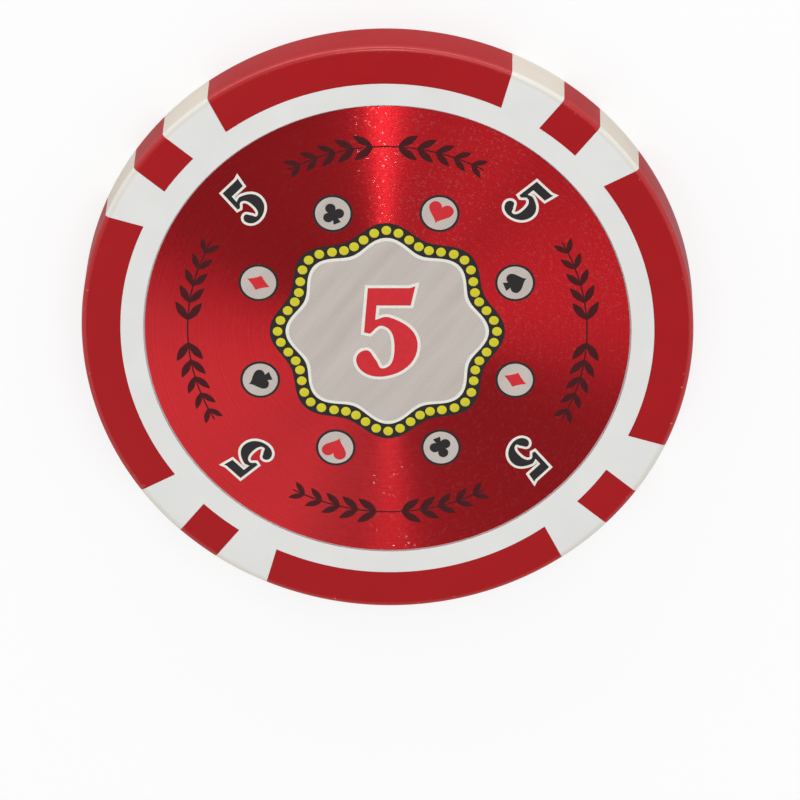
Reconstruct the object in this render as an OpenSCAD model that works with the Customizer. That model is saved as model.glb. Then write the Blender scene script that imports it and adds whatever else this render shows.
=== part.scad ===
// Gaming chip, moulded in two shots of plastic around a steel weight, with a foil label
// let into each face. The chip lies flat: its lower face is on Z = 0 and its axis is +Z.
// All sizes are in millimetres.

/* [Blank] */
// Outside diameter of the chip
chip_d = 40; // [38:0.5:46]
// Thickness of the chip, from face to face
chip_t = 3.5; // [3.3:0.1:4.5]
// Radius that rounds each face into the rim
edge_r = 0.3; // [0.2:0.05:0.8]

/* [Labels] */
// Diameter of a label
label_d = 31.7; // [26:0.1:33]
// Thickness of a label
label_t = 0.1; // [0.05:0.01:0.13]
// Thickness of the adhesive under a label
adhesive_t = 0.05; // [0.02:0.01:0.1]
// Distance from a label's edge to the adhesive's edge
adhesive_inset = 0.15; // [0.05:0.05:1]
// Depth of the recess that holds a label
recess_depth = 0.25; // [0.15:0.05:0.4]
// Gap between a label's edge and the wall of its recess
label_gap = 0.1; // [0.05:0.05:0.3]

/* [Face pattern] */
// Width of the white ring between a label's recess and the red blocks
ring_w = 1.5; // [0.8:0.1:2]
// Number of white wedges, which is also the number of long red blocks
wedge_count = 4; // [3:1:5]
// Width of a white wedge where it leaves the ring
wedge_w = 9.06; // [7:0.02:11]
// Lean of a wedge's straight sides away from its centre line, in degrees
wedge_splay = 23.3; // [0:0.1:35]
// Width of the small red block in the middle of each wedge
small_block_w = 3; // [1.5:0.1:4]

/* [Core moulding] */
// Width of the white ledge that runs under a label's edge
ledge_w = 0.6; // [0.3:0.05:1.5]
// Wall between the steel weight's edge and the white moulding
hub_wall = 0.85; // [0.5:0.05:2]
// Thickness of the web that carries the blocks, at mid height
web_t = 1.5; // [0.8:0.1:2]
// Diameter of the holes left by the pins that held the weight in the mould
pin_hole_d = 2; // [1:0.1:3]
// Number of those holes in each face
pin_hole_count = 4; // [3:1:6]
// Diameter of the circle that those holes lie on
pin_circle_d = 18; // [12:0.5:20]
// Diameter of the well around the moulding gate, in the lower face
gate_well_d = 2.6; // [1.5:0.1:4]
// Depth of that well
gate_well_depth = 0.15; // [0.05:0.05:0.2]

/* [Steel weight] */
// Thickness of the steel weight
slug_t = 2.1; // [1:0.1:2.2]
// Radius on the edges of the steel weight
slug_edge_r = 0.3; // [0.1:0.05:0.45]
// Gap between the steel weight and the plastic around it
slug_gap = 0.02; // [0.01:0.01:0.05]

/* [Hidden] */
$fn = 128;

red = [0.74, 0.11, 0.15];
white = [0.89, 0.89, 0.87];
foil = [0.68, 0.12, 0.17];
steel = [0.62, 0.63, 0.65];
glue = [0.86, 0.82, 0.66];

// Length by which a cut runs past the surface that it cuts
past = 1;
// Angle between two neighbouring wedges
wedge_pitch = 360 / wedge_count;

// Radii, from the rim to the axis
chip_r = chip_d / 2;
label_r = label_d / 2;
recess_r = label_r + label_gap;
block_inner_r = recess_r + ring_w;
hub_r = recess_r - ledge_w;
pocket_r = hub_r - hub_wall;
slug_r = pocket_r - slug_gap;

// Heights, counted from the middle of the chip
half_t = chip_t / 2;
floor_z = half_t - recess_depth;
pocket_z = slug_t / 2 + slug_gap;

// A disc of radius r and thickness t with rounded edges, about the middle of the chip
module rounded_disc(r, t, round_r) {
    rotate_extrude() {
        translate([0, -t / 2])
            square([r - round_r, t]);
        translate([0, round_r - t / 2])
            square([r, t - 2 * round_r]);
        for (side = [-1, 1])
            translate([r - round_r, side * (t / 2 - round_r)])
                circle(round_r);
    }
}

// Places its children at every wedge; the long blocks then lie on the X and Y axes
module at_wedges() {
    for (i = [0 : wedge_count - 1])
        rotate((i + 0.5) * wedge_pitch)
            children();
}

// Outline of one white wedge, along +X, with straight sides that splay outwards
module wedge_outline() {
    far = chip_r + past;
    near_w = wedge_w / 2;
    far_w = near_w + (far - block_inner_r) * tan(wedge_splay);
    polygon([
        [0, -near_w],
        [block_inner_r, -near_w],
        [far, -far_w],
        [far, far_w],
        [block_inner_r, near_w],
        [0, near_w]
    ]);
}

// Outline of all the wedges, with a gap down the middle of each for its small block
module wedges_outline() {
    at_wedges()
        difference() {
            wedge_outline();
            translate([0, -small_block_w / 2])
                square([chip_r + 2 * past, small_block_w]);
        }
}

// Outline of the red blocks, long and small, from the white ring to past the rim
module blocks_outline() {
    difference() {
        circle(chip_r + past);
        circle(block_inner_r);
        wedges_outline();
    }
}

// Outline of the web: everything but the wedges beyond the white ring
module web_outline() {
    difference() {
        circle(chip_r + past);
        difference() {
            wedges_outline();
            circle(block_inner_r);
        }
    }
}

// The blocks and the web as bars that run past the faces and the rim. The blank bounds them
// for the first shot, and loses them for the second.
module first_shot_bars() {
    linear_extrude(chip_t + 2 * past, center = true)
        blocks_outline();
    linear_extrude(web_t, center = true)
        web_outline();
}

// A disc-shaped cut from height z, above or below the middle, out past the face
module face_cut(r, z, side) {
    mirror([0, 0, side < 0 ? 1 : 0])
        translate([0, 0, z])
            cylinder(r = r, h = half_t - z + past);
}

// Holes left by the locating pins, from each recess down to the steel weight
module pin_holes() {
    for (side = [-1, 1], i = [0 : pin_hole_count - 1])
        rotate(i * 360 / pin_hole_count)
            translate([pin_circle_d / 2, 0, 0])
                face_cut(pin_hole_d / 2, slug_t / 2, side);
}

// First shot: hub round the weight, web, and the long and small blocks in one moulding
module red_core() {
    color(red)
        translate([0, 0, half_t])
            difference() {
                union() {
                    intersection() {
                        rounded_disc(chip_r, chip_t, edge_r);
                        first_shot_bars();
                    }
                    cylinder(r = hub_r, h = 2 * floor_z, center = true);
                }
                cylinder(r = pocket_r, h = 2 * pocket_z, center = true);
                pin_holes();
                face_cut(gate_well_d / 2, floor_z - gate_well_depth, -1);
            }
}

// Second shot: a ring in each face, joined through the rim by the wedges
module white_ring() {
    color(white)
        translate([0, 0, half_t])
            difference() {
                rounded_disc(chip_r, chip_t, edge_r);
                first_shot_bars();
                cylinder(r = hub_r, h = chip_t + 2 * past, center = true);
                for (side = [-1, 1])
                    face_cut(recess_r, floor_z, side);
            }
}

// The stamped steel weight, tumbled round at its edges
module steel_slug() {
    color(steel)
        translate([0, 0, half_t])
            rounded_disc(slug_r, slug_t, slug_edge_r);
}

// The film of adhesive on the floor of one recess
module adhesive(side) {
    color(glue)
        translate([0, 0, half_t + side * (floor_z + adhesive_t / 2)])
            cylinder(r = label_r - adhesive_inset, h = adhesive_t, center = true);
}

// The foil label on that adhesive, a little below the chip's face
module label(side) {
    color(foil)
        translate([0, 0, half_t + side * (floor_z + adhesive_t + label_t / 2)])
            cylinder(r = label_r, h = label_t, center = true);
}

steel_slug();
red_core();
white_ring();
adhesive(1);  // adhesive_top
label(1);  // label_top
adhesive(-1);  // adhesive_bottom
label(-1);  // label_bottom
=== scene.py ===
"""A gaming chip moulded in two shots of plastic, with a foil label in each face.

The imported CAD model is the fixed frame, in metres. The add-on's operators dress it: the two
mouldings with their hairline joints, the turned foil labels and the raised printing on them.
"""

import math

import bmesh
import bpy
from bpy.props import FloatProperty, FloatVectorProperty, IntProperty, PointerProperty
from mathutils import Matrix, Vector


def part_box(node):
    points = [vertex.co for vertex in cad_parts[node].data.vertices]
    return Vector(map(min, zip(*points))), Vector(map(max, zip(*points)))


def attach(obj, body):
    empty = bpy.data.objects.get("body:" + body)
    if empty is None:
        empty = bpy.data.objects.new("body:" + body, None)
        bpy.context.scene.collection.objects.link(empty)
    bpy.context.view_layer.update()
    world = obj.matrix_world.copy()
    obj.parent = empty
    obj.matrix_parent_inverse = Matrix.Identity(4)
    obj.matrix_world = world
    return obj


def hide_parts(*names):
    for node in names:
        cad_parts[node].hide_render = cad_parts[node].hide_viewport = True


bl_info = {
    "name": "Gaming Chip Dressing",
    "version": (1, 0, 0),
    "blender": (4, 5, 0),
    "location": "3D View > Sidebar > Chip",
    "description": "Dresses a two-shot moulded gaming chip with its finishes and printing",
    "category": "Object",
}

MM = 0.001
# Points of a mesh closer than this are one point, and edges shorter than the next go
SAME_POINT = 0.0004 * MM
NO_LENGTH = 0.0001 * MM
# Points of neighbouring copies closer than this are one point
COPIES_MEET = 0.001 * MM
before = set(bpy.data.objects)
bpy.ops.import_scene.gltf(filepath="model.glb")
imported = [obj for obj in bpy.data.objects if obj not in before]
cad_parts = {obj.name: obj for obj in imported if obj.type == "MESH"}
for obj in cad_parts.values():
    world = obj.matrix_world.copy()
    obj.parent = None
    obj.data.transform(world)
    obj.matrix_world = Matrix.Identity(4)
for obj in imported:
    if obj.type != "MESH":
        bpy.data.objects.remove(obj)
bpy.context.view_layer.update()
CORE_LOW, CORE_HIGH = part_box("red_core")
WEIGHT_LOW, WEIGHT_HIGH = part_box("steel_slug")
FILMS = {side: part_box(f"label_{side}") for side in ("top", "bottom")}
FILM_RADIUS = FILMS["top"][1].x
RECESS_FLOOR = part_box("adhesive_top")[0].z
# The ring's box ends at the circle of the blocks, because its wedges reach less far along X
BLOCKS_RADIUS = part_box("white_ring")[1].x


def length(name, description, millimetres):
    """A length property whose default is given in millimetres."""
    return FloatProperty(
        name=name, description=description, default=millimetres * MM, unit="LENGTH", precision=5
    )


def degrees(name, description, value):
    """An angle property whose default is given in degrees."""
    return FloatProperty(
        name=name, description=description, default=math.radians(value), subtype="ANGLE"
    )


def ink(name, description, code):
    """A colour property whose default is an sRGB hex code."""
    return FloatVectorProperty(
        name=name, description=description, subtype="COLOR", size=3, default=linear(code)
    )


def linear(code):
    """An sRGB hex code such as B81C27 as a linear colour."""
    parts = [int(code[i : i + 2], 16) / 255 for i in (0, 2, 4)]
    return tuple(c / 12.92 if c <= 0.04045 else ((c + 0.055) / 1.055) ** 2.4 for c in parts)


# ---------------------------------------------------------------- sizes and colours


class MouldingSizes(bpy.types.PropertyGroup):
    """Sizes of the two plastic mouldings: the CAD's own, but for the hairline joint."""

    edge_radius: length("Edge radius", "Radius between each face and the rim", 0.3)
    ledge: length("Ledge", "Width of the white ledge under a label's edge", 0.6)
    label_gap: length("Label gap", "Gap between a label and the wall of its recess", 0.1)
    web: length("Web", "Thickness of the web at mid height", 1.5)
    hub_wall: length("Hub wall", "Wall round the steel weight", 0.85)
    weight_gap: length("Weight gap", "Gap round the steel weight", 0.02)
    wedges: IntProperty(name="Wedges", description="Number of white wedges", default=4, min=3)
    wedge_width: length("Wedge width", "Width of a wedge where it leaves the ring", 9.06)
    splay: degrees("Splay", "Lean of a wedge's sides away from its centre line", 23.3)
    small_block: length("Small block", "Width of a small block", 3.0)
    pin_hole: length("Pin hole", "Diameter of a locating pin's hole", 2.0)
    pin_circle: length("Pin circle", "Diameter of the circle of those holes", 18.0)
    pin_holes: IntProperty(name="Pin holes", description="Number of those holes", default=4)
    gate_well: length("Gate well", "Diameter of the well round the gate", 2.6)
    gate_depth: length("Gate depth", "Depth of that well", 0.15)
    joint: length("Joint", "Width of the hairline break on every moulded edge", 0.03)


class PrintSizes(bpy.types.PropertyGroup):
    """Sizes of the printing on a label."""

    medallion: length("Medallion", "Middle radius of the ring of beads", 6.75)
    lobe: length("Lobe", "Height of a lobe of the medallion's edge", 0.42)
    lobes: IntProperty(name="Lobes", description="Number of lobes", default=8)
    border: length("Border", "Width of the black border under the beads", 1.05)
    bead: length("Bead", "Diameter of a bead", 0.64)
    beads: IntProperty(name="Beads", description="Number of beads", default=56)
    roundel: length("Roundel", "Diameter of a roundel", 2.3)
    roundel_circle: length("Roundel circle", "Radius of the circle of roundels", 9.05)
    pip: length("Pip", "Height of a suit pip", 1.5)
    numeral: length("Numeral", "Height of the large numeral", 6.2)
    small_numeral: length("Small numeral", "Height of a small numeral", 2.9)
    numeral_circle: length("Numeral circle", "Radius of the circle of small numerals", 12.95)
    leaf: length("Leaf", "Length of a laurel leaf", 1.55)
    laurel_circle: length("Laurel circle", "Radius of the laurel's stem", 13.05)
    relief: length("Relief", "Height of a printed layer over the film", 0.012)


class StudioSettings(bpy.types.PropertyGroup):
    """Where the camera stands, its lens, and how the labels are turned."""

    camera_place: FloatVectorProperty(
        name="Camera place",
        description="Place of the camera from the middle of the upper face",
        subtype="TRANSLATION",
        unit="LENGTH",
        default=(27.26 * MM, 183.61 * MM, 417.95 * MM),
    )
    camera_turn: FloatVectorProperty(
        name="Camera turn",
        description="Turn of the camera about X, Y and Z",
        subtype="EULER",
        default=(math.radians(-24.478), math.radians(1.040), math.radians(-5.844)),
    )
    lens: FloatProperty(name="Lens", description="Focal length in millimetres", default=315)
    top_label_turn: degrees("Upper label's turn", "Its turn from the pattern of the blocks", -5.4)
    bottom_label_turn: degrees("Lower label's turn", "Its turn from the pattern of the blocks", 17)


class ChipColours(bpy.types.PropertyGroup):
    """Colours of the plastics, the foil and the inks."""

    red: ink("Red plastic", "Colour of the first shot", "A61019")
    white: ink("White plastic", "Colour of the second shot", "E2E2E0")
    foil: ink("Foil", "Colour of the red foil", "ED2932")
    black: ink("Black ink", "Colour of the black ink", "231F20")
    cream: ink("White ink", "Colour of the white ink", "E6E5DC")
    scarlet: ink("Red ink", "Colour of the red ink", "CF1F2A")
    yellow: ink("Yellow ink", "Colour of the beads", "D2C81E")
    silver: ink("Silver ink", "Colour of the medallion", "D8CEC6")


# ---------------------------------------------------------------- making and placing


def fill(node, sockets):
    """Fills a node's sockets, by name or in order, with values or links.

    Only sockets in use count. A node given as a value stands for its first output in use.
    """
    usable = [socket for socket in node.inputs if socket.enabled]
    if isinstance(sockets, dict):
        named = {socket.name: socket for socket in usable}
        pairs = [(named[name], value) for name, value in sockets.items()]
    else:
        pairs = zip(usable, sockets)
    for socket, value in pairs:
        if isinstance(value, bpy.types.Node):
            value = next(output for output in value.outputs if output.enabled)
        if isinstance(value, bpy.types.NodeSocket):
            node.id_data.links.new(value, socket)
        else:
            socket.default_value = value


def put(tree, kind, sockets=(), **settings):
    """Adds a node, sets its options and fills its sockets."""
    new = tree.nodes.new(kind)
    for name, value in settings.items():
        setattr(new, name, value)
    fill(new, sockets)
    return new


def piece(name, mesh, material, nodes=()):
    """Links a finished mesh as a piece of the chip, which rides on its one body."""
    made = bpy.data.objects.new(name, mesh)
    bpy.context.scene.collection.objects.link(made)
    if material.name not in mesh.materials:
        mesh.materials.clear()
        mesh.materials.append(material)
    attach(made, "root")
    if nodes:
        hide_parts(*nodes)


def evaluated(source):
    """The mesh of an object with its modifiers or curve settings applied. The object goes."""
    bpy.context.view_layer.update()
    graph = bpy.context.evaluated_depsgraph_get()
    mesh = bpy.data.meshes.new_from_object(source.evaluated_get(graph), depsgraph=graph)
    bpy.data.objects.remove(source)
    return mesh


def scratch(data):
    """An object that carries a mesh or a curve until its finished mesh is read."""
    made = bpy.data.objects.new("scratch", data)
    bpy.context.scene.collection.objects.link(made)
    return made


def gathered(meshes):
    """A bmesh that holds several meshes. The meshes go."""
    bm = bmesh.new()
    for mesh in meshes:
        bm.from_mesh(mesh)
        bpy.data.meshes.remove(mesh)
    return bm


def saved(bm, name):
    """Turns a bmesh into a mesh."""
    mesh = bpy.data.meshes.new(name)
    bm.to_mesh(mesh)
    bm.free()
    return mesh


def mesh_of(bm, name):
    """Turns a bmesh into a mesh with merged points and outward faces."""
    bmesh.ops.remove_doubles(bm, verts=bm.verts, dist=SAME_POINT)
    bmesh.ops.dissolve_degenerate(bm, edges=bm.edges, dist=NO_LENGTH)
    bmesh.ops.recalc_face_normals(bm, faces=bm.faces)
    return saved(bm, name)


def smooth(mesh, limit=30):
    """Shades a mesh smooth, with its edges over the limit in degrees kept sharp."""
    bm = bmesh.new()
    bm.from_mesh(mesh)
    for face in bm.faces:
        face.smooth = True
    for edge in bm.edges:
        edge.smooth = edge.calc_face_angle(0) < math.radians(limit)
    bm.to_mesh(mesh)
    bm.free()


def face_matrix(side):
    """Takes a label's own frame, with Z out of the label, to its place on the chip."""
    studio = bpy.context.scene.chip_studio
    low, high = FILMS[side]
    if side == "top":
        turn = Matrix.Rotation(studio.top_label_turn, 4, "Z")
        return Matrix.Translation((0, 0, high.z)) @ turn
    turn = Matrix.Rotation(math.pi, 4, "X") @ Matrix.Rotation(studio.bottom_label_turn, 4, "Z")
    return Matrix.Translation((0, 0, low.z)) @ turn


def on_both_faces(name, mesh, material):
    """Makes one printed piece on each label from a mesh in the label's own frame."""
    for side in FILMS:
        copy = mesh.copy()
        copy.transform(face_matrix(side))
        piece(f"{name}_{side}", copy, material)
    bpy.data.meshes.remove(mesh)


# ---------------------------------------------------------------- node trees that repeat


def new_tree(name, **inputs):
    """An empty geometry tree with a geometry and named inputs, and one geometry output."""
    tree = bpy.data.node_groups.new(name, "GeometryNodeTree")
    tree.is_modifier = True
    for label, kind in {"Geometry": "Geometry", **inputs}.items():
        tree.interface.new_socket(label, in_out="INPUT", socket_type=f"NodeSocket{kind}")
    tree.interface.new_socket("Geometry", in_out="OUTPUT", socket_type="NodeSocketGeometry")
    return tree, tree.nodes.new("NodeGroupInput").outputs


def end_tree(tree, instances, material):
    """Ends a tree: real geometry, merged where copies meet, with its material."""
    real = put(tree, "GeometryNodeRealizeInstances", [instances])
    merged = put(tree, "GeometryNodeMergeByDistance", {"Geometry": real, "Distance": COPIES_MEET})
    coloured = put(tree, "GeometryNodeSetMaterial", {"Geometry": merged, "Material": material})
    put(tree, "NodeGroupOutput", [coloured])
    return tree


def even_angles(tree, count):
    """The angle of each copy when a full turn is shared out evenly."""
    index = put(tree, "GeometryNodeInputIndex")
    step = put(tree, "ShaderNodeMath", [math.tau, count], operation="DIVIDE")
    return put(tree, "ShaderNodeMath", [index, step], operation="MULTIPLY")


def on_circle(tree, angle, radius, height=0.0):
    """The place at an angle, a radius and a height on the Z axis."""
    place = {"Z": height}
    for axis, function in (("X", "COSINE"), ("Y", "SINE")):
        share = put(tree, "ShaderNodeMath", [angle], operation=function)
        place[axis] = put(tree, "ShaderNodeMath", [radius, share], operation="MULTIPLY")
    return put(tree, "ShaderNodeCombineXYZ", place)


def turned_copies(tree, points, geometry, angle, size=(1, 1, 1)):
    """Copies of a geometry on points, each turned by its angle about Z."""
    turn = put(tree, "ShaderNodeCombineXYZ", {"Z": angle})
    sockets = {"Points": points, "Instance": geometry, "Rotation": turn, "Scale": size}
    return put(tree, "GeometryNodeInstanceOnPoints", sockets)


def turning_tree():
    """Repeats a geometry round the Z axis."""
    tree, given = new_tree("Repeat round the axis", Count="Int", Material="Material")
    points = put(tree, "GeometryNodePoints", {"Count": given["Count"]})
    angle = even_angles(tree, given["Count"])
    copies = turned_copies(tree, points, given["Geometry"], angle)
    return end_tree(tree, copies, given["Material"])


def lobed_tree():
    """Sets copies of a geometry along a lobed circle, as beads stand on a border."""
    tree, given = new_tree(
        "Set along a lobed circle",
        Count="Int",
        Radius="Float",
        Lobe="Float",
        Lobes="Int",
        Height="Float",
        Material="Material",
    )
    angle = even_angles(tree, given["Count"])
    phase = put(tree, "ShaderNodeMath", [angle, given["Lobes"]], operation="MULTIPLY")
    swing = put(tree, "ShaderNodeMath", [phase], operation="COSINE")
    swell = [swing, given["Lobe"], given["Radius"]]
    radius = put(tree, "ShaderNodeMath", swell, operation="MULTIPLY_ADD")
    place = on_circle(tree, angle, radius, given["Height"])
    points = put(tree, "GeometryNodePoints", {"Count": given["Count"], "Position": place})
    copies = turned_copies(tree, points, given["Geometry"], angle)
    return end_tree(tree, copies, given["Material"])


def spray_tree():
    """Grows pairs of leaves along an arc, which get smaller towards its end."""
    tree, given = new_tree(
        "Spray of leaves",
        Pairs="Int",
        Radius="Float",
        Start="Float",
        Step="Float",
        Lean="Float",
        Taper="Float",
        Material="Material",
    )
    index = put(tree, "GeometryNodeInputIndex")
    along = [index, given["Step"], given["Start"]]
    angle = put(tree, "ShaderNodeMath", along, operation="MULTIPLY_ADD")
    place = on_circle(tree, angle, given["Radius"])
    points = put(tree, "GeometryNodePoints", {"Count": given["Pairs"], "Position": place})
    growth = put(tree, "ShaderNodeMath", [given["Step"]], operation="SIGN")
    ahead = put(tree, "ShaderNodeMath", [growth, math.pi / 2, angle], operation="MULTIPLY_ADD")
    size = put(tree, "ShaderNodeMath", [index, given["Taper"], 1.0], operation="MULTIPLY_ADD")
    both = put(tree, "GeometryNodeJoinGeometry")
    for way in (1, -1):
        lean = put(tree, "ShaderNodeMath", [given["Lean"], way, ahead], operation="MULTIPLY_ADD")
        fill(both, [turned_copies(tree, points, given["Geometry"], lean, size)])
    return end_tree(tree, both, given["Material"])


def grown(mesh, tree, **values):
    """The mesh that a tree makes of a mesh, with the tree's inputs set by name."""
    source = scratch(mesh)
    modifier = source.modifiers.new("Grow", "NODES")
    modifier.node_group = tree
    for item in tree.interface.items_tree:
        if item.in_out == "INPUT" and item.name in values:
            modifier[item.identifier] = values[item.name]
    return evaluated(source)


# ---------------------------------------------------------------- outlines of the printing


def even_turn(points):
    """Angles that share a full turn out evenly."""
    return [math.tau * i / points for i in range(points)]


def polar(radius, angle):
    """X and Y of a point at a radius and an angle."""
    return radius * math.cos(angle), radius * math.sin(angle)


def lobed_circle(radius, lobe, lobes, points=192):
    """A circle whose radius swells once for each lobe."""
    return [polar(radius + lobe * math.cos(lobes * a), a) for a in even_turn(points)]


def reach(outline, angle):
    """Distance from the origin to the last crossing of an outline in one direction."""
    far = 0.0
    dx, dy = math.cos(angle), math.sin(angle)
    for (ax, ay), (bx, by) in zip(outline, outline[1:] + outline[:1]):
        cross = dx * (by - ay) - dy * (bx - ax)
        if abs(cross) < 1e-12:
            continue
        along = (ax * (by - ay) - ay * (bx - ax)) / cross
        share = (ax * dy - ay * dx) / cross
        if along > far and -1e-9 <= share <= 1 + 1e-9:
            far = along
    return far


def joined_outline(outlines, points=96):
    """The outer outline, seen from the origin, of several outlines that overlap there."""
    return [polar(max(reach(o, a) for o in outlines), a) for a in even_turn(points)]


def circle_outline(x, y, radius, points=40):
    """A circle about a point."""
    return [(x + radius * math.cos(a), y + radius * math.sin(a)) for a in even_turn(points)]


def heart_outline(points=64):
    """A heart one unit tall, from the usual sine formula."""
    tall, middle = 29, 2.5
    outline = []
    for a in even_turn(points):
        x = 16 * math.sin(a) ** 3
        y = 13 * math.cos(a) - 5 * math.cos(2 * a) - 2 * math.cos(3 * a) - math.cos(4 * a)
        outline.append((x / tall, (y + middle) / tall))
    return outline


def diamond_outline(steps=6, hollow=0.32):
    """A diamond one unit tall with slightly hollow sides."""
    corners = [(0.36, 0), (0, 0.52), (-0.36, 0), (0, -0.52)]
    outline = []
    for (ax, ay), (bx, by) in zip(corners, corners[1:] + corners[:1]):
        for i in range(steps):
            share = i / steps
            pull = 1 - hollow * share * (1 - share)
            outline.append(((ax + (bx - ax) * share) * pull, (ay + (by - ay) * share) * pull))
    return outline


def stem_outline(top=-0.05, foot=-0.5, width=0.2, waist=0.035):
    """The flared foot of a spade or a club."""
    shares = (0, 0.4, 0.7, 0.88, 1)
    right = [(waist + width * share**2, top + (foot - top) * share) for share in shares]
    return right + [(-x, y) for x, y in reversed(right)]


def spade_outline():
    """A spade one unit tall: a heart turned over, on a foot."""
    leaf = [(x * 0.86, -y * 0.84 + 0.12) for x, y in heart_outline()]
    return joined_outline([leaf, stem_outline()])


def club_outline(ball=0.225):
    """A club one unit tall: three balls on a foot."""
    balls = [circle_outline(x, y, ball) for x, y in ((0, 0.26), (-0.25, -0.1), (0.25, -0.1))]
    middle = circle_outline(0, 0, 0.12)
    return joined_outline([*balls, middle, stem_outline(width=0.17)])


def leaf_outline(points=14):
    """A pointed leaf one unit long, along +X from the origin."""
    shares = [i / points for i in range(points + 1)]
    upper = [(s, 0.17 * math.sin(math.pi * s) ** 0.9) for s in shares]
    return upper + [(x, -y) for x, y in reversed(upper[1:-1])]


# The numeral five, one unit tall. Its outline runs along the flag, round the outside and the
# inside of the bowl, and back by the stem. FIVE says of each point whether it is round there.
FLAG = ((0.16, 1.0), (0.60, 1.0), (0.66, 1.02), (0.61, 0.80), (0.25, 0.80), (0.235, 0.635))
OUTER_BOWL = ((0.38, 0.665), (0.68, 0.335), (0.31, -0.02), (0.03, 0.15), (0.13, 0.285))
INNER_BOWL = ((0.235, 0.175), (0.31, 0.075), (0.435, 0.325), (0.315, 0.565))
STEM = ((0.175, 0.475), (0.115, 0.49))
FIVE = [(point, False) for point in FLAG]
FIVE += [(point, True) for point in OUTER_BOWL + INNER_BOWL]
FIVE += [(point, False) for point in STEM]
FIVE_MIDDLE = (0.36, 0.5)


def flat_print(outlines, height, swell=0.0, base=0.0, rounding=0.004 * MM):
    """A printed layer of even height: closed, and softly rounded at its edges.

    Each outline is a list of points, or of points with True where the line is round.
    """
    curve = bpy.data.curves.new("print", "CURVE")
    curve.dimensions = "2D"
    curve.fill_mode = "BOTH"
    curve.offset = swell - rounding
    curve.extrude = max(height / 2 - rounding, 0.0005 * MM)
    curve.bevel_depth = rounding
    curve.bevel_resolution = 1
    curve.resolution_u = 10
    for outline in outlines:
        if isinstance(outline[0][1], bool):
            spline = curve.splines.new("BEZIER")
            spline.bezier_points.add(len(outline) - 1)
            for point, ((x, y), is_round) in zip(spline.bezier_points, outline):
                point.co = (x, y, 0)
                point.handle_left_type = "AUTO" if is_round else "VECTOR"
                point.handle_right_type = point.handle_left_type
        else:
            spline = curve.splines.new("POLY")
            spline.points.add(len(outline) - 1)
            for point, (x, y) in zip(spline.points, outline):
                point.co = (x, y, 0, 1)
        spline.use_cyclic_u = True
    mesh = evaluated(scratch(curve))
    mesh.transform(Matrix.Translation((0, 0, base + height / 2)))
    mesh = mesh_of(gathered([mesh]), "print")
    smooth(mesh, 15)
    return mesh


def sized(outline, scale, x=0.0, y=0.0, turn=0.0):
    """An outline scaled, turned and then moved. Marks of roundness stay."""
    c, s = math.cos(turn), math.sin(turn)

    def moved(px, py):
        return (x + scale * (px * c - py * s), y + scale * (px * s + py * c))

    if isinstance(outline[0][1], bool):
        return [(moved(*point), is_round) for point, is_round in outline]
    return [moved(px, py) for px, py in outline]


def numeral_outline(height, x=0.0, y=0.0, turn=0.0):
    """The numeral five, centred on a point."""
    mx, my = FIVE_MIDDLE
    centred = [((px - mx, py - my), is_round) for (px, py), is_round in FIVE]
    return sized(centred, height, x, y, turn)


# ---------------------------------------------------------------- finishes


def emptied(holder):
    """The node tree of a new material or world, with nothing in it."""
    holder.use_nodes = True
    holder.node_tree.nodes.clear()
    return holder.node_tree


def surface(name, finish, *details):
    """A material. Its finish adds nodes and says what the Principled shader's sockets get."""
    material = bpy.data.materials.new(name)
    tree = emptied(material)
    place = put(tree, "ShaderNodeTexCoord").outputs["Object"]
    shader = put(tree, "ShaderNodeBsdfPrincipled", finish(tree, place, *details))
    put(tree, "ShaderNodeOutputMaterial", [shader])
    return material


def rgba(colour):
    """A linear colour as a shader colour."""
    return (*colour, 1)


WHITE = rgba(linear("FFFFFF"))


def toned(colour, factor, lift=0.0):
    """A colour made darker or paler, as a shader colour that stays short of white."""
    return rgba(min(c * factor + lift, 0.95) for c in colour)


def axis_distance(tree, place):
    """Distance of a place from the chip's axis, in millimetres."""
    flat = put(tree, "ShaderNodeVectorMath", [place, (1 / MM, 1 / MM, 0)], operation="MULTIPLY")
    return put(tree, "ShaderNodeVectorMath", [flat], operation="LENGTH")


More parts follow.
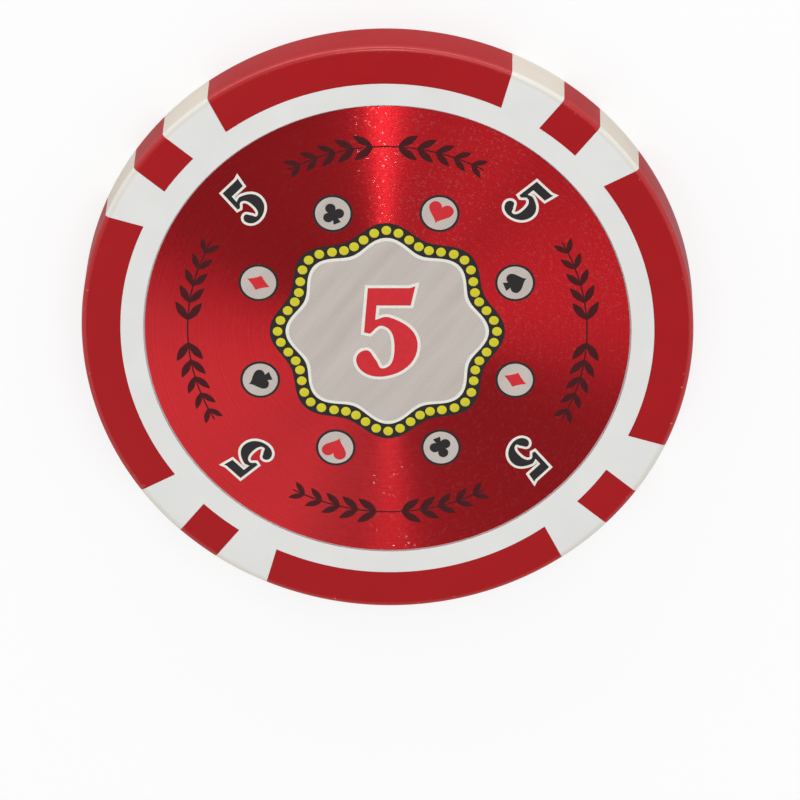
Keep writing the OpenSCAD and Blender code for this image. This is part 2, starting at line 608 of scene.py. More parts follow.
def moulded_abs(tree, place, colour, edge_highlight, worn, rim):
    """Injection-moulded ABS: an even, opaque colour with a soft shine.

    The mould's ground face leaves a faint unevenness, handling leaves broad dull patches,
    and fine scuffs lie across the faces. The rounded edges are painted paler as a highlight
    and carry small knocks in the worn colour. The rim colour is painted warm light on the rim.
    """
    cloud = put(tree, "ShaderNodeTexNoise", {"Vector": place, "Scale": 0.35 / MM, "Detail": 4.0})
    tones = [cloud, toned(colour, 0.94), toned(colour, 1.05)]
    shade = put(tree, "ShaderNodeMix", tones, data_type="RGBA")
    far = axis_distance(tree, place)
    rim_radius = CORE_HIGH.x / MM
    # Painted light: a warm tint of light is painted on the rim, towards the rim colour
    rim_light_share = put(
        tree,
        "ShaderNodeMapRange",
        {"Value": far, "From Min": rim_radius - 0.5, "From Max": rim_radius - 0.1},
        interpolation_type="SMOOTHSTEP",
    )
    tints = [rim_light_share, shade, rgba(rim)]
    rim_lit = put(tree, "ShaderNodeMix", tints, data_type="RGBA", blend_type="MULTIPLY")
    # The rounded edges lie where the radius and the height from mid height add up to most
    level = put(tree, "ShaderNodeSeparateXYZ", [place]).outputs["Z"]
    middle = CORE_HIGH.z / 2
    from_middle = put(tree, "ShaderNodeMath", [level, middle], operation="SUBTRACT")
    aside = put(tree, "ShaderNodeMath", [from_middle], operation="ABSOLUTE")
    corner = put(tree, "ShaderNodeMath", [aside, 1 / MM, far], operation="MULTIPLY_ADD")
    radius = bpy.context.scene.chip_moulding.edge_radius / MM
    edge_ends = rim_radius + middle / MM - radius
    edge_middle = edge_ends + (math.sqrt(2) - 1) * radius
    on_edge = put(
        tree,
        "ShaderNodeMapRange",
        {"Value": corner, "From Min": edge_ends - 0.1, "From Max": edge_middle},
        interpolation_type="SMOOTHERSTEP",
    )
    # Painted highlight: the rounded edges are mixed towards a paler colour
    highlighted = put(tree, "ShaderNodeMix", [on_edge, rim_lit, rgba(edge_highlight)], data_type="RGBA")
    # Knocks: a few specks of about 0.15 mm, only along the rounded edges
    speck = put(tree, "ShaderNodeTexNoise", {"Vector": place, "Scale": 3.2 / MM, "Detail": 3.0})
    few = put(tree, "ShaderNodeMapRange", {"Value": speck, "From Min": 0.68, "From Max": 0.74})
    near_edge = put(
        tree,
        "ShaderNodeMapRange",
        {"Value": corner, "From Min": edge_ends - 0.25, "From Max": edge_ends, "To Max": 0.45},
    )
    knocks = put(tree, "ShaderNodeMath", [near_edge, few], operation="MULTIPLY")
    base = put(tree, "ShaderNodeMix", [knocks, highlighted, rgba(worn)], data_type="RGBA")
    patch = put(tree, "ShaderNodeTexNoise", {"Vector": place, "Scale": 0.12 / MM, "Detail": 6.0})
    rough = put(
        tree,
        "ShaderNodeMapRange",
        {"Value": patch, "From Min": 0.3, "From Max": 0.7, "To Min": 0.3, "To Max": 0.4},
    )
    polished = put(tree, "ShaderNodeMath", [on_edge, -0.14, rough], operation="MULTIPLY_ADD")
    # Scuffs: stretched noise gives hairlines about 0.06 mm wide that run askew
    askew = put(
        tree,
        "ShaderNodeMapping",
        {"Vector": place, "Rotation": (0, 0, 0.7), "Scale": (0.5 / MM, 9 / MM, 2 / MM)},
    )
    hair = put(tree, "ShaderNodeTexNoise", {"Vector": askew, "Scale": 1.0, "Detail": 3.0})
    grain = put(tree, "ShaderNodeTexNoise", {"Vector": place, "Scale": 6 / MM, "Detail": 2.0})
    height = put(tree, "ShaderNodeMath", [hair, 0.35, grain], operation="MULTIPLY_ADD")
    relief = {"Height": height, "Strength": 0.35, "Distance": 0.004 * MM}
    return {
        "Base Color": base,
        "Roughness": polished,
        "Normal": put(tree, "ShaderNodeBump", relief),
        "IOR": 1.54,
        "Specular IOR Level": put(
            tree, "ShaderNodeMapRange", {"Value": on_edge, "To Min": 0.18, "To Max": 0.55}
        ),
        "Specular Tint": rgba(linear("FFF2E2")),
    }


def turned_foil(tree, place, colour, pink, amber, uv_map):
    """Metallised polyester film, lacquered red and pressed with fine turned grooves.

    The grooves, 0.2 mm apart, pull each lamp into a streak through the middle. A clear film
    lies over them. One small facet of it in seven leans in or out across the grooves, so that
    it flashes white in a streak and is hardly seen elsewhere.
    """
    lines = {"W": axis_distance(tree, place), "Scale": 8.0, "Detail": 2.0, "Roughness": 0.6}
    grooves = put(tree, "ShaderNodeTexNoise", lines, noise_dimensions="1D")
    cells = put(tree, "ShaderNodeTexVoronoi", {"Vector": place, "Scale": 8.5 / MM})
    chance = cells.outputs["Color"]
    parts = put(tree, "ShaderNodeSeparateColor", [chance]).outputs
    # A cell is a facet where its first random number is over this
    common = 0.86
    askew = put(tree, "ShaderNodeMath", [parts[0], common], operation="GREATER_THAN")
    some = put(tree, "ShaderNodeMath", [askew, 0.04], operation="MULTIPLY")
    tinted = put(tree, "ShaderNodeMix", [parts[1], rgba(pink), rgba(amber)], data_type="RGBA")
    sparkle = put(tree, "ShaderNodeMix", [some, rgba(colour), tinted], data_type="RGBA")
    dull = put(
        tree,
        "ShaderNodeMapRange",
        {"Value": grooves, "From Min": 0.3, "From Max": 0.7, "To Min": 0.9, "To Max": 1.04},
    )
    shade = put(tree, "ShaderNodeVectorMath", [sparkle, dull], operation="SCALE")
    relief = {"Height": grooves, "Strength": 0.5, "Distance": 0.004 * MM}
    bump = put(tree, "ShaderNodeBump", relief)
    # The grooves' outer flanks are the steeper ones, more so towards the edge
    flank = 0.055 / FILM_RADIUS
    lean = [place, (flank, flank, 0), bump]
    leaning = put(tree, "ShaderNodeVectorMath", lean, operation="MULTIPLY_ADD")
    about = [chance, (0.5, 0.5, 0.5)]
    centred = put(tree, "ShaderNodeVectorMath", about, operation="SUBTRACT")
    unevenness = [centred, (0.012, 0.012, 0.012), leaning]
    tilt = put(tree, "ShaderNodeVectorMath", unevenness, operation="MULTIPLY_ADD")
    normal = put(tree, "ShaderNodeVectorMath", [tilt], operation="NORMALIZE")
    flat = put(tree, "ShaderNodeVectorMath", [place, (1, 1, 0)], operation="MULTIPLY")
    outward = put(tree, "ShaderNodeVectorMath", [flat], operation="NORMALIZE")
    # Two facets in three lean outwards and the third inwards, by about 20 degrees
    side = put(tree, "ShaderNodeMath", [parts[2], 0.35], operation="GREATER_THAN")
    slope = put(tree, "ShaderNodeMapRange", {"Value": side, "To Min": -0.38, "To Max": 0.38})
    across = put(tree, "ShaderNodeVectorMath", [outward, slope], operation="SCALE")
    # The first random number of a facet spreads about the middle of what is left above common
    about = [chance, ((1 + common) / 2, 0.5, 0.5)]
    spread = put(tree, "ShaderNodeVectorMath", about, operation="SUBTRACT")
    leans = [spread, (0.55, 0.08, 0.08), across]
    facet = put(tree, "ShaderNodeVectorMath", leans, operation="MULTIPLY_ADD")
    slant = put(tree, "ShaderNodeVectorMath", [facet, askew], operation="SCALE")
    raised = put(tree, "ShaderNodeVectorMath", [slant, normal], operation="ADD")
    return {
        "Base Color": shade,
        "Normal": normal,
        "Tangent": put(tree, "ShaderNodeTangent", direction_type="UV_MAP", uv_map=uv_map),
        "Metallic": 1.0,
        "Roughness": 0.27,
        "Specular Tint": (1.0, 0.2, 0.2, 1.0),
        "Anisotropic": 1.0,
        "Anisotropic Rotation": 0.25,
        "Coat Weight": 0.35,
        "Coat Roughness": 0.1,
        "Coat Normal": put(tree, "ShaderNodeVectorMath", [raised], operation="NORMALIZE"),
    }


def printed_ink(tree, place, colour, depth=0.06, metallic=0.0):
    """Screen ink under the clear film: flat colour, slightly uneven, with the film's gloss."""
    cloud = put(tree, "ShaderNodeTexNoise", {"Vector": place, "Scale": 3 / MM, "Detail": 3.0})
    tones = [cloud, toned(colour, 1 - 2 * depth), toned(colour, 1 + 2 * depth, 0.004)]
    return {
        "Base Color": put(tree, "ShaderNodeMix", tones, data_type="RGBA"),
        "Metallic": metallic,
        "Roughness": 0.45,
        "Specular IOR Level": 0.25,
        "Coat Weight": 0.5,
        "Coat Roughness": 0.06,
    }


def hatched_silver(tree, place, colour):
    """Silver ink over embossed hatching, 0.25 mm apart on the slant, as on a bank note.

    Broad pale and dull bands along the hatching are painted sheen, as a film that isn't quite flat
    reflects.
    """
    turned = {"Vector": place, "Rotation": (0, 0, math.radians(-45)), "Scale": [1 / MM] * 3}
    slant = put(tree, "ShaderNodeMapping", turned)
    hatch = {"Vector": slant, "Scale": 1.9, "Distortion": 0.4, "Detail": 1.0}
    lines = put(tree, "ShaderNodeTexWave", hatch, bands_direction="Y").outputs["Fac"]
    # Painted sheen: broad pale and dull bands go into the colour along with the hatching
    wide = put(tree, "ShaderNodeMapping", {"Vector": slant, "Scale": (0.12, 1.1, 1)})
    sheen_bands = put(tree, "ShaderNodeTexNoise", {"Vector": wide, "Scale": 1.0, "Detail": 3.0})
    both = put(tree, "ShaderNodeMath", [sheen_bands, 2.0, lines], operation="MULTIPLY_ADD")
    level = put(tree, "ShaderNodeMapRange", {"Value": both, "From Min": 0.4, "From Max": 2.6})
    tones = [level, toned(colour, 0.78), toned(colour, 1.12)]
    relief = {"Height": lines, "Strength": 0.5, "Distance": 0.006 * MM}
    return {
        "Base Color": put(tree, "ShaderNodeMix", tones, data_type="RGBA"),
        "Normal": put(tree, "ShaderNodeBump", relief),
        "Metallic": 0.35,
        "Roughness": 0.42,
        "Coat Weight": 0.6,
        "Coat Roughness": 0.08,
    }


def stamped_steel(tree, place):
    """Mild steel strip, blanked and tumbled: grey, dull, with fine scratches every way."""
    scratches = put(
        tree, "ShaderNodeTexNoise", {"Vector": place, "Scale": 2.5 / MM, "Detail": 8.0}
    )
    relief = {"Height": scratches, "Strength": 0.4, "Distance": 0.01 * MM}
    dullness = {"Value": scratches, "To Min": 0.25, "To Max": 0.55}
    return {
        "Base Color": rgba(linear("8E9092")),
        "Metallic": 1.0,
        "Roughness": put(tree, "ShaderNodeMapRange", dullness),
        "Normal": put(tree, "ShaderNodeBump", relief),
    }


def clear_adhesive(tree, place):
    """Acrylic adhesive film: yellowish, clear and faintly mottled."""
    mottle = put(tree, "ShaderNodeTexNoise", {"Vector": place, "Scale": 1.5 / MM, "Detail": 4.0})
    dullness = {"Value": mottle, "To Min": 0.35, "To Max": 0.6}
    return {
        "Base Color": rgba(linear("DCD2AA")),
        "Transmission Weight": 0.5,
        "IOR": 1.47,
        "Roughness": put(tree, "ShaderNodeMapRange", dullness),
    }


# ---------------------------------------------------------------- the mouldings


class Section:
    """The chip's radii and heights, and the angles at which the two colours meet."""

    def __init__(self):
        sizes = bpy.context.scene.chip_moulding
        self.sizes = sizes
        self.rim = CORE_HIGH.x
        self.top = CORE_HIGH.z
        self.recess = FILM_RADIUS + sizes.label_gap
        self.hub = self.recess - sizes.ledge
        self.blocks = BLOCKS_RADIUS
        self.floor = RECESS_FLOOR
        self.web = (self.top + sizes.web) / 2
        self.pitch = math.tau / sizes.wedges

    def small_side(self, radius):
        """Angle from a wedge's centre line to its small block's side."""
        return math.asin(self.sizes.small_block / 2 / radius)

    def wedge_side(self, radius):
        """Angle from a wedge's centre line to its own straight side."""
        slope = math.tan(self.sizes.splay)
        start = self.sizes.wedge_width / 2 - slope * self.blocks
        square = 1 + slope * slope
        inner = (start * slope) ** 2 - square * (start * start - radius * radius)
        x = (math.sqrt(inner) - start * slope) / square
        return math.atan2(start + slope * x, x)

    def regions(self):
        """The four stretches of one pitch: whether red, number of columns, and both ends."""
        few, many = 8, 48
        return [
            (False, few, lambda r: -self.wedge_side(r), lambda r: -self.small_side(r)),
            (True, few, lambda r: -self.small_side(r), self.small_side),
            (False, few, self.small_side, self.wedge_side),
            (True, many, self.wedge_side, lambda r: self.pitch - self.wedge_side(r)),
        ]

    def lower(self, line):
        """A line of radii and heights mirrored to the lower face."""
        return [(r, self.top - z) for r, z in line]

    def skin(self, steps=8):
        """From the blocks' inner circle over the rim to the other face."""
        edge = self.sizes.edge_radius
        line = [(self.blocks, self.top)]
        for i in range(steps + 1):
            angle = math.pi / 2 * i / steps
            radius = self.rim - edge * (1 - math.sin(angle))
            line.append((radius, self.top - edge * (1 - math.cos(angle))))
        return line + self.lower(reversed(line))

    def web_edge(self):
        """The web's edge, where it meets the wedges."""
        return [(self.blocks, self.web), (self.blocks, self.top - self.web)]

    def pitch_mesh(self, everywhere, by_colour, with_walls):
        """One pitch of a moulding, closed but for its two ends.

        everywhere holds the lines swept through all four regions. by_colour holds those
        swept through the red regions and through the white ones. with_walls says whether
        the red or the white side of each colour joint gets its wall: both are the same.
        """
        bm = bmesh.new()

        def place(ends, share, radius, height):
            outer = max(radius, self.blocks)
            start, end = ends[0](outer), ends[1](outer)
            angle = start + (end - start) * share + self.pitch / 2
            return bm.verts.new((*polar(radius, angle), height))

        def strip(ends, columns, first, second):
            for i in range(columns):
                near, far = i / columns, (i + 1) / columns
                ring = [(near, *first), (near, *second), (far, *second), (far, *first)]
                bm.faces.new([place(ends, *corner) for corner in ring])

        for is_red, columns, *ends in self.regions():
            for line in everywhere + by_colour[is_red]:
                for first, second in zip(line, line[1:]):
                    strip(ends, columns, first, second)
            if is_red == with_walls:
                wall = self.skin() + list(reversed(self.web_edge()))
                for share in (0, 1):
                    bm.faces.new([place(ends, share, r, z) for r, z in wall])
        return mesh_of(bm, "pitch")


def disc_cutter(bm, radius, low, high, x=0.0, y=0.0, segments=48):
    """Adds an upright cylinder to a cutter."""
    bmesh.ops.create_cone(
        bm,
        cap_ends=True,
        segments=segments,
        radius1=radius,
        radius2=radius,
        depth=high - low,
        matrix=Matrix.Translation((x, y, (low + high) / 2)),
    )


def hidden_cutter(section):
    """The weight's pocket, the locating pins' holes and the gate's well, as one cutter."""
    sizes = section.sizes
    bm = bmesh.new()
    pocket_low = WEIGHT_LOW.z - sizes.weight_gap
    pocket_high = WEIGHT_HIGH.z + sizes.weight_gap
    disc_cutter(bm, section.hub - sizes.hub_wall, pocket_low, pocket_high, segments=144)
    for angle in even_turn(sizes.pin_holes):
        x, y = polar(sizes.pin_circle / 2, angle)
        disc_cutter(bm, sizes.pin_hole / 2, -MM, section.top + MM, x, y)
    well = section.top - section.floor + sizes.gate_depth
    disc_cutter(bm, sizes.gate_well / 2, -MM, well)
    return saved(bm, "cutter")


def make_moulding(name, plastic, pitch, section, node, cutter=None):
    """Repeats one pitch round the axis, and finishes it as the piece that stands for a node.

    What is hidden is cut away, and then every moulded edge is broken by a hairline.
    """
    whole = grown(pitch, turning_tree(), Count=section.sizes.wedges, Material=plastic)
    smooth(whole)
    source = scratch(whole)
    if cutter:
        tool = scratch(cutter)
        cut = source.modifiers.new("Hidden", "BOOLEAN")
        cut.operation = "DIFFERENCE"
        cut.solver = "EXACT"
        cut.use_self = True
        cut.object = tool
    edge = source.modifiers.new("Hairline", "BEVEL")
    edge.width = section.sizes.joint
    edge.segments = 2
    edge.limit_method = "ANGLE"
    edge.angle_limit = math.radians(40)
    edge.use_clamp_overlap = False
    edge.harden_normals = True
    made = evaluated(source)
    if cutter:
        bpy.data.objects.remove(tool)
    piece(name, made, plastic, [node])


class CHIP_OT_core(bpy.types.Operator):
    """Make the red first shot: hub, web, and the long and small blocks"""

    bl_idname = "chip.core"
    bl_label = "Red Core"

    def execute(self, context):
        colours = context.scene.chip_colours
        section = Section()
        # The first colour paints a highlight on the rounded edges, the second is the knocks' worn
        # colour, and the white rim colour paints no tint
        edge_highlight, worn, rim = [linear(code) for code in ("B2262C", "E9A9A6", "FFFFFF")]
        plastic = surface("Moulded ABS, red", moulded_abs, colours.red, edge_highlight, worn, rim)
        # The rings inside the hub's edge only keep the faces of the recess's floor short
        web_top = [(section.hub * share, section.floor) for share in (0, 0.45, 0.8, 1)]
        web_top += [(section.hub, section.web), (section.blocks, section.web)]
        upright = [(section.blocks, section.web), (section.blocks, section.top)]
        pitch = section.pitch_mesh(
            everywhere=[web_top, section.lower(web_top)],
            by_colour={
                True: [upright, section.lower(upright), section.skin()],
                False: [section.web_edge()],
            },
            with_walls=True,
        )
        cutter = hidden_cutter(section)
        make_moulding("core_moulding", plastic, pitch, section, "red_core", cutter)
        return {"FINISHED"}


class CHIP_OT_ring(bpy.types.Operator):
    """Make the white second shot: a ring in each face, joined by the wedges"""

    bl_idname = "chip.ring"
    bl_label = "White Ring"

    def execute(self, context):
        colours = context.scene.chip_colours
        section = Section()
        # The first colour paints a highlight on the rounded edges, the second is the knocks' worn
        # colour, and the third paints warm light on the rim
        edge_highlight, worn, rim = [linear(code) for code in ("DDDBD3", "C9C2B8", "F2E7DB")]
        plastic = surface("Moulded ABS, white", moulded_abs, colours.white, edge_highlight, worn, rim)
        ring = [
            (section.blocks, section.web),
            (section.hub, section.web),
            (section.hub, section.floor),
            (section.recess, section.floor),
            (section.recess, section.top),
            (section.blocks, section.top),
        ]
        outer = [(section.blocks, section.top), (section.blocks, section.web)]
        pitch = section.pitch_mesh(
            everywhere=[ring, section.lower(ring)],
            by_colour={
                True: [outer, section.lower(outer)],
                False: [section.skin(), section.web_edge()],
            },
            with_walls=False,
        )
        make_moulding("ring_moulding", plastic, pitch, section, "white_ring")
        return {"FINISHED"}


class CHIP_OT_inside(bpy.types.Operator):
    """Finish the hidden steel weight and the adhesive films"""

    bl_idname = "chip.inside"
    bl_label = "Weight and Adhesive"

    def execute(self, context):
        steel = surface("Mild steel, stamped and tumbled", stamped_steel)
        glue = surface("Acrylic adhesive film", clear_adhesive)
        finishes = {"steel_slug": steel, "adhesive_top": glue, "adhesive_bottom": glue}
        for node, finish in finishes.items():
            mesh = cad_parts[node].data
            mesh.materials.clear()
            mesh.materials.append(finish)
        return {"FINISHED"}


# ---------------------------------------------------------------- the labels


def film_mesh(low, high, uv_map, segments=192):
    """A label's film with soft edges and a map that runs round it, for the grooves."""
    radius = high.x
    edge = 0.02 * MM
    line = [(radius * share, high.z) for share in (0, 0.02, 0.25, 0.5, 0.75)]
    line.append((radius - 3 * edge, high.z))
    for angle in even_turn(12)[:4]:
        drop = edge * (1 - math.cos(angle))
        line.append((radius - edge * (1 - math.sin(angle)), high.z - drop))
    line += [(r, low.z + high.z - z) for r, z in reversed(line)]
    bm = bmesh.new()
    turned = bm.loops.layers.uv.new(uv_map)
    rings = []
    for r, z in line:
        if r == 0:
            rings.append([bm.verts.new((0, 0, z))] * segments)
            continue
        rings.append([bm.verts.new((*polar(r, a), z)) for a in even_turn(segments)])
    for row, (inner, outer) in enumerate(zip(rings, rings[1:])):
        heights = (row / len(line), (row + 1) / len(line))
        for i in range(segments):
            j = (i + 1) % segments
            corners = [
                (inner[i], i, heights[0]),
                (outer[i], i, heights[1]),
                (outer[j], i + 1, heights[1]),
                (inner[j], i + 1, heights[0]),
            ]
            kept = [c for n, c in enumerate(corners) if c[0] not in [d[0] for d in corners[:n]]]
            made = bm.faces.new([c[0] for c in kept])
            for loop, (_, step, height) in zip(made.loops, kept):
                loop[turned].uv = (step / segments, height)
    bmesh.ops.recalc_face_normals(bm, faces=bm.faces)
    mesh = saved(bm, "film")
    smooth(mesh)
    return mesh


class CHIP_OT_labels(bpy.types.Operator):
    """Make the foil labels, with turned grooves under a clear film"""

    bl_idname = "chip.labels"
    bl_label = "Foil Labels"

    def execute(self, context):
        red = context.scene.chip_colours.foil
        pink, amber = linear("FF2FA0"), linear("FFB428")
        foil = surface("Turned polyester foil, red", turned_foil, red, pink, amber, "turned")
        for side, (low, high) in FILMS.items():
            film = film_mesh(low, high, "turned")
            piece(f"film_{side}", film, foil, [f"label_{side}"])
        return {"FINISHED"}


def bead_mesh(radius, height):
    """A low round bead of a few dozen faces."""
    bm = bmesh.new()
    bmesh.ops.create_uvsphere(bm, u_segments=12, v_segments=6, radius=1)
    for vert in bm.verts:
        vert.co.x *= radius
        vert.co.y *= radius
        vert.co.z = max(vert.co.z, 0) * height
    return mesh_of(bm, "bead")


class CHIP_OT_medallions(bpy.types.Operator):
    """Print the lobed medallion with its border, beads and large numeral"""

    bl_idname = "chip.medallions"
    bl_label = "Medallions"

    def execute(self, context):
        sizes = context.scene.chip_print
        colours = context.scene.chip_colours
        layer = sizes.relief
        black = surface("Screen ink, black", printed_ink, colours.black)
        silver = surface("Silver ink on hatched emboss", hatched_silver, colours.silver)
        cream = surface("Screen ink, white", printed_ink, colours.cream)
        yellow = surface("Screen ink, yellow", printed_ink, colours.yellow)
        scarlet = surface("Screen ink, red", printed_ink, colours.scarlet)

        rail = sizes.medallion - sizes.border / 2
        # The cream ring round the medallion is a painted highlight, standing for the lit line of
        # the embossed edge
        highlight_width = 0.22 * MM
        discs = (
            ("medallion_border", sizes.medallion + sizes.border / 2, 0.0, black),
            ("medallion_highlight", rail, layer, cream),
            ("medallion_face", rail - highlight_width, layer * 1.5, silver),
        )
        for name, radius, base, material in discs:
            outline = lobed_circle(radius, sizes.lobe, sizes.lobes)
            on_both_faces(name, flat_print([outline], layer, base=base), material)

        bead = bead_mesh(sizes.bead / 2, layer * 1.8)
        smooth(bead, 60)
        beads = grown(
            bead,
            lobed_tree(),
            Count=sizes.beads,
            Radius=sizes.medallion,
            Lobe=sizes.lobe,
            Lobes=sizes.lobes,
            Height=layer,
            Material=yellow,
        )
        on_both_faces("beads", beads, yellow)

        five = numeral_outline(sizes.numeral)
        high = layer * 2.5
        layers = (
            ("numeral_edge", 0.2 * MM, high, cream),
            ("numeral", 0.0, high + layer * 0.5, scarlet),
        )
        for name, swell, base, material in layers:
            on_both_faces(name, flat_print([five], layer, swell, base), material)
        return {"FINISHED"}


class CHIP_OT_roundels(bpy.types.Operator):
    """Print the ring of roundels with the four suits"""

    bl_idname = "chip.roundels"
    bl_label = "Suit Roundels"

    def execute(self, context):
        sizes = context.scene.chip_print
        black = bpy.data.materials["Screen ink, black"]
        silver = bpy.data.materials["Silver ink on hatched emboss"]
        scarlet = bpy.data.materials["Screen ink, red"]
        layer = sizes.relief
        radius = sizes.roundel / 2
        half = math.pi / sizes.lobes

        discs = (
            ("roundel_rims", radius + 0.16 * MM, 0.0, black),
            ("roundels", radius, layer * 0.5, silver),
        )
        for name, size, base, material in discs:
            disc = circle_outline(*polar(sizes.roundel_circle, half), size, 56)
            one = flat_print([disc], layer, base=base)
            every = grown(one, turning_tree(), Count=sizes.lobes, Material=material)
            on_both_faces(name, every, material)

        suits = (
            ("black_pips", (spade_outline(), club_outline()), 0, black),
            ("red_pips", (heart_outline(), diamond_outline()), 1, scarlet),
        )
        for name, outlines, first, material in suits:
            placed = []
            for i, outline in enumerate(outlines):
                angle = half * (1 + 2 * (first + 2 * i))
                x, y = polar(sizes.roundel_circle, angle)
                placed.append(sized(outline, sizes.pip, x, y, angle - math.pi / 2))
            pair = flat_print(placed, layer, base=layer)
            every = grown(pair, turning_tree(), Count=2, Material=material)
            on_both_faces(name, every, material)
        return {"FINISHED"}


class CHIP_OT_outer_print(bpy.types.Operator):
    """Print the small numerals and the dark laurel sprays round the label"""

    bl_idname = "chip.outer_print"
    bl_label = "Numerals and Laurels"

    def execute(self, context):
        sizes = context.scene.chip_print
        layer = sizes.relief
        black = bpy.data.materials["Screen ink, black"]
        cream = bpy.data.materials["Screen ink, white"]
        dark = linear("551A1F")
        shade = surface("Translucent dark ink on foil", printed_ink, dark, 0.15, 0.7)

        x, y = polar(sizes.numeral_circle, math.radians(45))
        small = numeral_outline(sizes.small_numeral, x, y, math.radians(-45))
        layers = (
            ("small_numeral_edges", 0.17 * MM, 0.0, cream),
            ("small_numerals", 0.0, layer * 0.4, black),
        )
        for name, swell, base, material in layers:
            one = flat_print([small], layer * 0.7, swell, base)
            on_both_faces(name, grown(one, turning_tree(), Count=4, Material=material), material)

        leaf = sized(leaf_outline(), sizes.leaf)
        stem_reach, stem_width, steps = math.radians(29), 0.1 * MM, 24
        angles = [stem_reach * (i / steps - 1) for i in range(2 * steps + 1)]
        rails = [(sizes.laurel_circle + way * stem_width / 2, way) for way in (1, -1)]
        stem = [polar(radius, a) for radius, way in rails for a in angles[::way]]
        sprays = []
        for way in (1, -1):
            sprays.append(
                grown(
                    flat_print([leaf], layer * 0.5, rounding=0.002 * MM),
                    spray_tree(),
                    Pairs=5,
                    Radius=sizes.laurel_circle,
                    Start=math.radians(3.5 * way),
                    Step=math.radians(5.4 * way),
                    Lean=math.radians(34),
                    Taper=-0.07,
                    Material=shade,
                )
            )
        sprays.append(flat_print([stem], layer * 0.3, rounding=0.001 * MM))
        quarter = saved(gathered(sprays), "sprays")
        laurels = grown(quarter, turning_tree(), Count=4, Material=shade)
        on_both_faces("laurels", laurels, shade)
        return {"FINISHED"}


# ---------------------------------------------------------------- the stage


def lamp(name, place, aim, size, watts):
    """A soft rectangular lamp that the camera itself doesn't see."""
    light = bpy.data.lights.new(name, "AREA")
    light.shape = "RECTANGLE"
    light.size, light.size_y = size
    light.energy = watts
    made = bpy.data.objects.new(name, light)
    made.location = place
    made.rotation_euler = (Vector(aim) - Vector(place)).to_track_quat("-Z", "Y").to_euler()
    made.visible_camera = False
    bpy.context.scene.collection.objects.link(made)


def pale_world():
    """A pale room: bright where the camera and shiny things see it, softer as a lamp."""
    world = bpy.data.worlds.new("Pale room")
    bpy.context.scene.world = world
    tree = emptied(world)
    way = put(tree, "ShaderNodeTexCoord").outputs["Generated"]
    up = put(tree, "ShaderNodeSeparateXYZ", [way]).outputs["Z"]
    ceiling = put(
        tree,
        "ShaderNodeMapRange",
        {"Value": up, "From Min": 0.25, "From Max": 0.95, "To Min": 0.65, "To Max": 0.2},
        interpolation_type="SMOOTHSTEP",
    )
    seen = put(tree, "ShaderNodeLightPath").outputs
    straight = [seen["Is Camera Ray"], seen["Is Transmission Ray"]]
    direct = put(tree, "ShaderNodeMath", straight, operation="MAXIMUM")
    soft = put(tree, "ShaderNodeMix", [seen["Is Glossy Ray"], 0.64, ceiling])
    strength = put(tree, "ShaderNodeMix", [direct, soft, 1.0])
    glow = put(tree, "ShaderNodeBackground", {"Color": WHITE, "Strength": strength})
    put(tree, "ShaderNodeOutputWorld", [glow])


def pale_floor():
    """A matt white sheet that stays white to the camera and keeps the chip's shadow."""
    material = bpy.data.materials.new("Matt white card")
    tree = emptied(material)
    matt = {"Base Color": rgba(linear("FAFAFA")), "Roughness": 0.9}
    card = put(tree, "ShaderNodeBsdfPrincipled", matt)
    seen = put(tree, "ShaderNodeLightPath").outputs
    mirrored = put(tree, "ShaderNodeMath", [seen["Is Glossy Ray"], 0.6], operation="MULTIPLY")
    shares = [seen["Is Camera Ray"], 0.75, mirrored]
    lifted = put(tree, "ShaderNodeMath", shares, operation="MULTIPLY_ADD")
    strength = put(tree, "ShaderNodeMix", [seen["Is Glossy Ray"], 1.0, 0.3])
    glow = put(tree, "ShaderNodeEmission", {"Color": WHITE, "Strength": strength})
    mixed = put(tree, "ShaderNodeMixShader", [lifted, card, glow])
    put(tree, "ShaderNodeOutputMaterial", [mixed])
    half = 1.5
    under = CORE_LOW.z - 0.01 * MM
    signs = ((-1, -1), (1, -1), (1, 1), (-1, 1))
    corners = [(half * x, half * y, under) for x, y in signs]
    mesh = bpy.data.meshes.new("floor")
    mesh.from_pydata(corners, [], [(0, 1, 2, 3)])
    mesh.materials.append(material)
    floor = bpy.data.objects.new("floor", mesh)
    bpy.context.scene.collection.objects.link(floor)


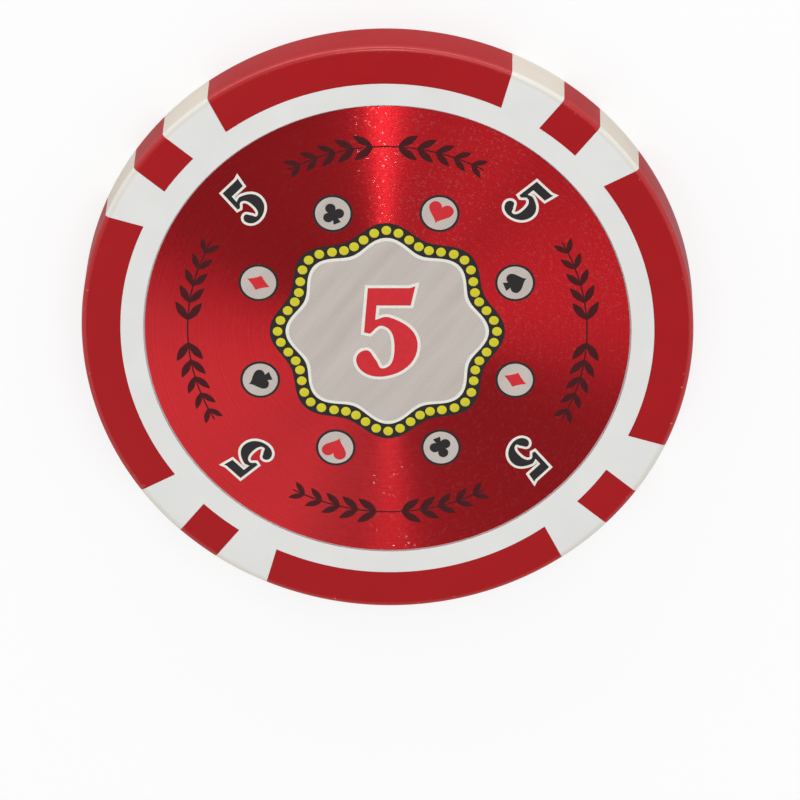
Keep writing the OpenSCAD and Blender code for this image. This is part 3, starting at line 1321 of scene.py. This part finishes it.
class CHIP_OT_stage(bpy.types.Operator):
    """Make the camera, the lamps, the pale room and the floor"""

    bl_idname = "chip.stage"
    bl_label = "Stage"

    def execute(self, context):
        studio = context.scene.chip_studio
        middle = Vector((0, 0, CORE_HIGH.z))
        data = bpy.data.cameras.new("Camera")
        data.lens = studio.lens
        data.clip_start = 10 * MM
        camera = bpy.data.objects.new("Camera", data)
        camera.location = middle + Vector(studio.camera_place)
        camera.rotation_euler = studio.camera_turn
        context.scene.collection.objects.link(camera)
        context.scene.camera = camera
        lamp("Key", (0.3, 0.37, 0.8), middle, (0.5, 0.5), 1.0)
        lamp("Streak", (-0.005, 0.2, 0.58), middle, (0.012, 0.3), 0.4)
        lamp("Side", (0.42, -0.22, 0.64), middle, (0.5, 0.5), 0.35)
        lamp("Fill", (-0.3, -0.42, 0.67), middle, (0.4, 0.4), 0.4)
        lamp("Edge strip", (0.0, 0.8, 0.16), middle, (1.6, 0.22), 4.0)
        pale_world()
        pale_floor()
        context.scene.view_settings.view_transform = "Standard"
        return {"FINISHED"}


class CHIP_PT_dressing(bpy.types.Panel):
    """Lists the steps that dress the chip"""

    bl_label = "Gaming Chip"
    bl_space_type = "VIEW_3D"
    bl_region_type = "UI"
    bl_category = "Chip"

    def draw(self, context):
        for operator in OPERATORS:
            self.layout.operator(operator.bl_idname)
        for name in GROUPS:
            group = getattr(context.scene, name)
            box = self.layout.box()
            for field in group.__annotations__:
                box.prop(group, field)


OPERATORS = (
    CHIP_OT_stage,
    CHIP_OT_core,
    CHIP_OT_ring,
    CHIP_OT_inside,
    CHIP_OT_labels,
    CHIP_OT_medallions,
    CHIP_OT_roundels,
    CHIP_OT_outer_print,
)
GROUPS = {
    "chip_moulding": MouldingSizes,
    "chip_print": PrintSizes,
    "chip_studio": StudioSettings,
    "chip_colours": ChipColours,
}


def register():
    """Registers the property groups, the operators and the panel."""
    for name, group in GROUPS.items():
        bpy.utils.register_class(group)
        setattr(bpy.types.Scene, name, PointerProperty(type=group))
    for operator in OPERATORS:
        bpy.utils.register_class(operator)
    bpy.utils.register_class(CHIP_PT_dressing)


def unregister():
    """Takes them out again."""
    bpy.utils.unregister_class(CHIP_PT_dressing)
    for operator in reversed(OPERATORS):
        bpy.utils.unregister_class(operator)
    for name, group in GROUPS.items():
        delattr(bpy.types.Scene, name)
        bpy.utils.unregister_class(group)


def main():
    """Dresses the chip."""
    register()
    for operator in OPERATORS:
        group, name = operator.bl_idname.split(".")
        getattr(getattr(bpy.ops, group), name)()


if __name__ == "__main__":
    main()
